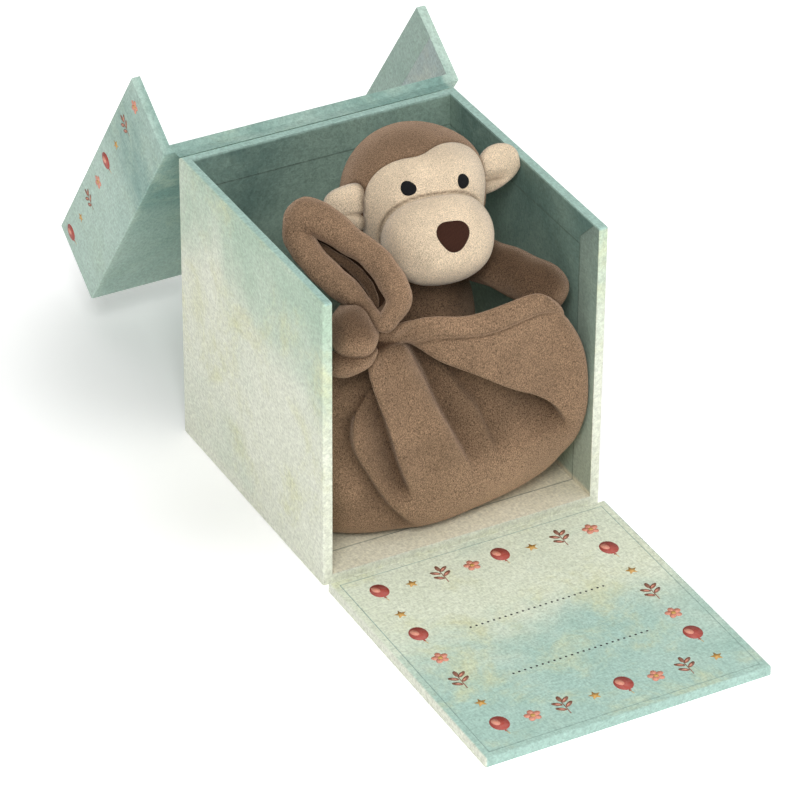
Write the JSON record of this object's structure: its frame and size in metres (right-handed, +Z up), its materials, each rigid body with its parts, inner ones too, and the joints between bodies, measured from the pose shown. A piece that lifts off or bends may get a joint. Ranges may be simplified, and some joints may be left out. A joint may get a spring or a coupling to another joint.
{
  "type": "keepsake box with plush toy",
  "caption": "Wrapped-board keepsake box with a fold-back lid and a drop-down front, holding a plush monkey comforter with a draped blanket.",
  "frame": {"origin": "middle of the base's underside, on the surface the box stands on", "axes": "+X to the right seen from the open front, +Y to the back, +Z up"},
  "size_m": [0.15, 0.41, 0.1704],
  "materials": {
    "greyboard": "matte",
    "box_paper": "matte",
    "lid_paper": "matte",
    "flap_paper": "matte",
    "printed_liner": "matte",
    "liner_paper": "matte",
    "cream_plush": "matte",
    "brown_plush": "matte",
    "black_stitching": "matte",
    "brown_stitching": "matte"
  },
  "bodies": {
    "box": {"base_board": "greyboard", "left_wall_board": "greyboard", "right_wall_board": "greyboard", "back_wall_board": "greyboard", "box_wrap": "box_paper", "base_sheet": "box_paper", "left_wall_liner": "liner_paper", "right_wall_liner": "liner_paper", "back_wall_liner": "liner_paper", "floor_liner": "liner_paper"},
    "lid_spine": {"lid_spine_strip": "lid_paper"},
    "lid": {"lid_top_board": "greyboard", "lid_left_skirt_board": "greyboard", "lid_right_skirt_board": "greyboard", "lid_front_skirt_board": "greyboard", "lid_wrap": "lid_paper", "lid_top_liner": "liner_paper", "lid_left_skirt_liner": "liner_paper", "lid_right_skirt_liner": "liner_paper", "lid_front_skirt_liner": "liner_paper"},
    "front_flap": {"front_flap_board": "greyboard", "front_flap_wrap": "flap_paper", "front_flap_liner": "printed_liner"},
    "plush_monkey": {"head": "brown_plush", "face_panel": "cream_plush", "muzzle": "cream_plush", "nose": "brown_stitching", "left_eye": "black_stitching", "right_eye": "black_stitching", "left_ear": "cream_plush", "right_ear": "cream_plush", "body": "brown_plush", "left_arm": "brown_plush", "right_arm": "brown_plush", "blanket": "brown_plush", "blanket_corner": "brown_plush", "blanket_under_fold": "brown_plush"}
  },
  "joints": [
    {"name": "lid_spine_fold", "type": "hinge", "parent": "box", "child": "lid_spine", "pos_m": [0, 0.0698, 0.1458], "axis": [-1, 0, 0], "range_deg": [-90, 7.66]},
    {"name": "lid_fold", "type": "hinge", "parent": "lid_spine", "child": "lid", "pos_m": [0, 0.0743, 0.1458], "axis": [-1, 0, 0], "range_deg": [-145, 12.33], "deforming": ["head", "face_panel", "muzzle", "nose", "left_eye", "right_eye", "left_ear", "right_ear", "body", "left_arm", "right_arm", "blanket", "blanket_corner", "blanket_under_fold"]},
    {"name": "front_flap_fold", "type": "hinge", "parent": "box", "child": "front_flap", "pos_m": [0, -0.0748, 0.0002], "axis": [-1, 0, 0], "range_deg": [0, 90]},
    {"name": "plush_lift", "type": "slide", "parent": "box", "child": "plush_monkey", "axis": [0, 0, 1], "range_m": [0, 0.16]}
  ],
  "couplings": [
    {"joint": "lid_spine_fold", "follows": "lid_fold", "ratio": 0.62069}
  ]
}
